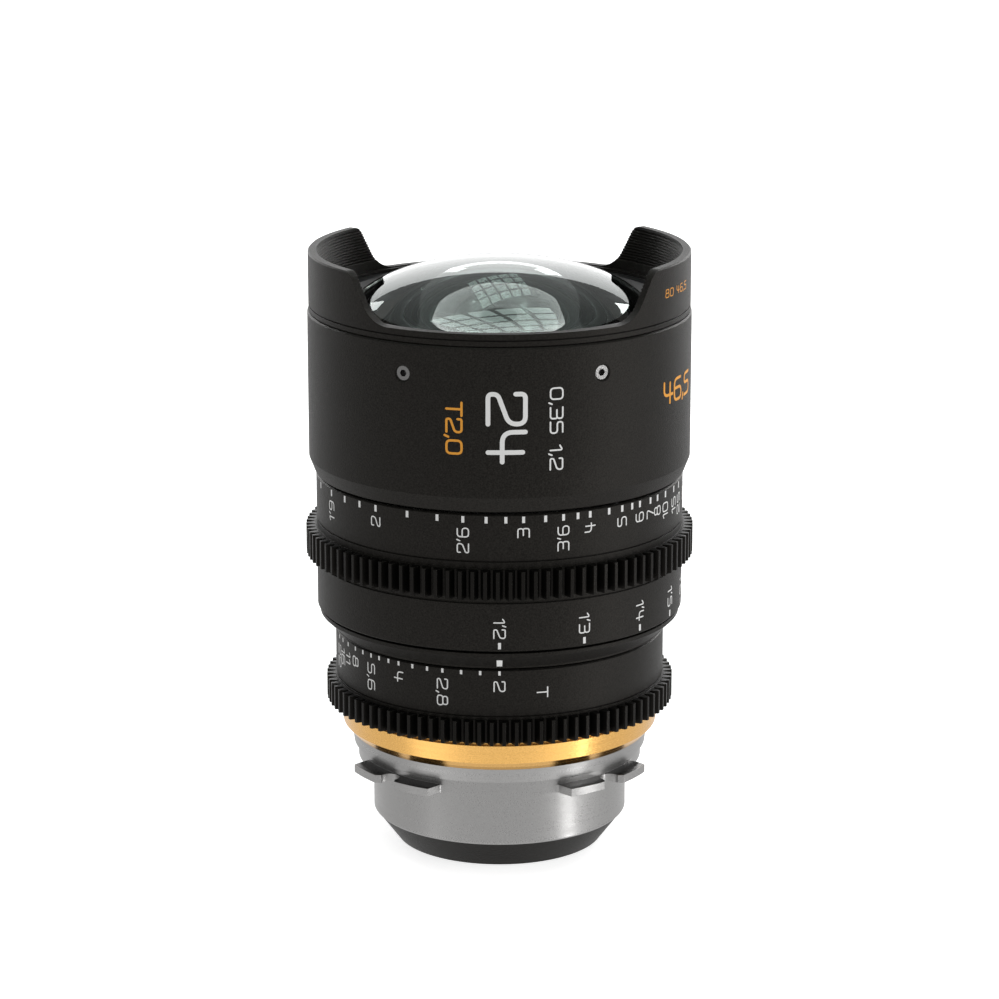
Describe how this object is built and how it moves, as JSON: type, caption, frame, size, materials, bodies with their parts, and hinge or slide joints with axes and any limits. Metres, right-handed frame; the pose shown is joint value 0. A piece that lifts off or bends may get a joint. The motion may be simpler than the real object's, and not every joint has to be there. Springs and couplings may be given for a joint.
{
  "type": "cinema prime lens",
  "caption": "Black cinema prime lens with toothed focus and aperture rings, gold accent ring, steel bayonet mount and a two-petal hood over a domed front glass.",
  "frame": {"origin": "on the optical axis, in the plane of the bayonet tabs' rear faces, which seats on the camera", "axes": "+Z along the optical axis to the front glass, -Y towards the index marks, +X to the right seen from the index side with the glass up"},
  "size_m": [0.0816, 0.0816, 0.1276],
  "materials": {
    "ring_black": "matte black anodised, fine blasted grain, white filled scales",
    "inner_black": "satin black anodised",
    "baffle_black": "flat black anodised",
    "gold_anodised": "satin gold anodised",
    "mount_steel": "satin turned stainless steel",
    "screw_steel": "bright steel",
    "screw_black": "blackened steel",
    "pin_steel": "ground steel",
    "blade_steel": "blackened spring steel",
    "washer_plastic": "slippery white plastic",
    "shim_brass": "rolled brass",
    "optical_glass": "coated optical glass"
  },
  "bodies": {
    "lens_body": {"lens_mount": "mount_steel", "mount_screws": "screw_steel", "mount_shim": "shim_brass", "rear_baffle": "baffle_black", "accent_ring": "gold_anodised", "rear_barrel": "inner_black", "iris_base_plate": "inner_black", "iris_clamp_ring": "inner_black", "index_ring": "ring_black", "inner_barrel": "inner_black", "body_screws": "screw_black", "rear_washer": "washer_plastic", "front_washer": "washer_plastic", "front_barrel": "ring_black", "barrel_screws": "screw_black", "front_cell": "inner_black", "front_element": "optical_glass", "front_clamp_ring": "inner_black", "second_element": "optical_glass", "second_clamp_ring": "inner_black", "third_element": "optical_glass", "third_spacer": "inner_black", "fourth_element": "optical_glass", "fourth_clamp_ring": "inner_black", "front_hood": "ring_black", "set_screws": "screw_black", "rear_cell": "inner_black", "rear_crown": "optical_glass", "rear_flint": "optical_glass", "rear_spacer": "inner_black", "rear_positive": "optical_glass", "middle_spacer": "inner_black", "rear_meniscus": "optical_glass", "long_spacer": "inner_black", "rear_element": "optical_glass", "rear_clamp_ring": "inner_black"},
    "focus_ring": {"focus_ring": "ring_black", "focus_sleeve": "inner_black", "sleeve_screws": "screw_black", "focus_stop_pin": "pin_steel"},
    "focus_carriage": {"focus_cell": "inner_black", "cam_followers": "pin_steel", "focus_crown": "optical_glass", "focus_flint": "optical_glass", "focus_spacer": "inner_black", "focus_element": "optical_glass", "focus_clamp_ring": "inner_black"},
    "iris_ring": {"iris_ring": "ring_black", "iris_link_pin": "pin_steel", "iris_cam_ring": "inner_black"},
    "iris_blade_1": {"iris_blade_1": "blade_steel"},
    "iris_blade_2": {"iris_blade_2": "blade_steel"},
    "iris_blade_3": {"iris_blade_3": "blade_steel"},
    "iris_blade_4": {"iris_blade_4": "blade_steel"},
    "iris_blade_5": {"iris_blade_5": "blade_steel"},
    "iris_blade_6": {"iris_blade_6": "blade_steel"},
    "iris_blade_7": {"iris_blade_7": "blade_steel"},
    "iris_blade_8": {"iris_blade_8": "blade_steel"},
    "iris_blade_9": {"iris_blade_9": "blade_steel"}
  },
  "joints": [
    {"name": "focus_turn", "type": "hinge", "parent": "lens_body", "child": "focus_ring", "pos_m": [0, 0, 0.0483], "axis": [0, 0, 1], "range_deg": [-262, 0]},
    {"name": "focus_travel", "type": "slide", "parent": "lens_body", "child": "focus_carriage", "axis": [0, 0, 1], "range_m": [-0.006, 0]},
    {"name": "iris_turn", "type": "hinge", "parent": "lens_body", "child": "iris_ring", "pos_m": [0, 0, 0.0209], "axis": [0, 0, 1], "range_deg": [0, 75.5]},
    {"name": "blade_1_pivot", "type": "hinge", "parent": "lens_body", "child": "iris_blade_1", "pos_m": [0, -0.0205, 0.0205], "axis": [0, 0, 1], "range_deg": [0, 29.8]},
    {"name": "blade_2_pivot", "type": "hinge", "parent": "lens_body", "child": "iris_blade_2", "pos_m": [0.01318, -0.0157, 0.0205], "axis": [0, 0, 1], "range_deg": [0, 29.8]},
    {"name": "blade_3_pivot", "type": "hinge", "parent": "lens_body", "child": "iris_blade_3", "pos_m": [0.02019, -0.00356, 0.0205], "axis": [0, 0, 1], "range_deg": [0, 29.8]},
    {"name": "blade_4_pivot", "type": "hinge", "parent": "lens_body", "child": "iris_blade_4", "pos_m": [0.01775, 0.01025, 0.0205], "axis": [0, 0, 1], "range_deg": [0, 29.8]},
    {"name": "blade_5_pivot", "type": "hinge", "parent": "lens_body", "child": "iris_blade_5", "pos_m": [0.00701, 0.01926, 0.0205], "axis": [0, 0, 1], "range_deg": [0, 29.8]},
    {"name": "blade_6_pivot", "type": "hinge", "parent": "lens_body", "child": "iris_blade_6", "pos_m": [-0.00701, 0.01926, 0.0205], "axis": [0, 0, 1], "range_deg": [0, 29.8]},
    {"name": "blade_7_pivot", "type": "hinge", "parent": "lens_body", "child": "iris_blade_7", "pos_m": [-0.01775, 0.01025, 0.0205], "axis": [0, 0, 1], "range_deg": [0, 29.8]},
    {"name": "blade_8_pivot", "type": "hinge", "parent": "lens_body", "child": "iris_blade_8", "pos_m": [-0.02019, -0.00356, 0.0205], "axis": [0, 0, 1], "range_deg": [0, 29.8]},
    {"name": "blade_9_pivot", "type": "hinge", "parent": "lens_body", "child": "iris_blade_9", "pos_m": [-0.01318, -0.0157, 0.0205], "axis": [0, 0, 1], "range_deg": [0, 29.8]}
  ],
  "couplings": [
    {"joint": "focus_travel", "follows": "focus_turn", "m_per_rad": 0.001312},
    {"joint": "blade_1_pivot", "follows": "iris_turn", "ratio": 0.3947},
    {"joint": "blade_2_pivot", "follows": "iris_turn", "ratio": 0.3947},
    {"joint": "blade_3_pivot", "follows": "iris_turn", "ratio": 0.3947},
    {"joint": "blade_4_pivot", "follows": "iris_turn", "ratio": 0.3947},
    {"joint": "blade_5_pivot", "follows": "iris_turn", "ratio": 0.3947},
    {"joint": "blade_6_pivot", "follows": "iris_turn", "ratio": 0.3947},
    {"joint": "blade_7_pivot", "follows": "iris_turn", "ratio": 0.3947},
    {"joint": "blade_8_pivot", "follows": "iris_turn", "ratio": 0.3947},
    {"joint": "blade_9_pivot", "follows": "iris_turn", "ratio": 0.3947}
  ]
}
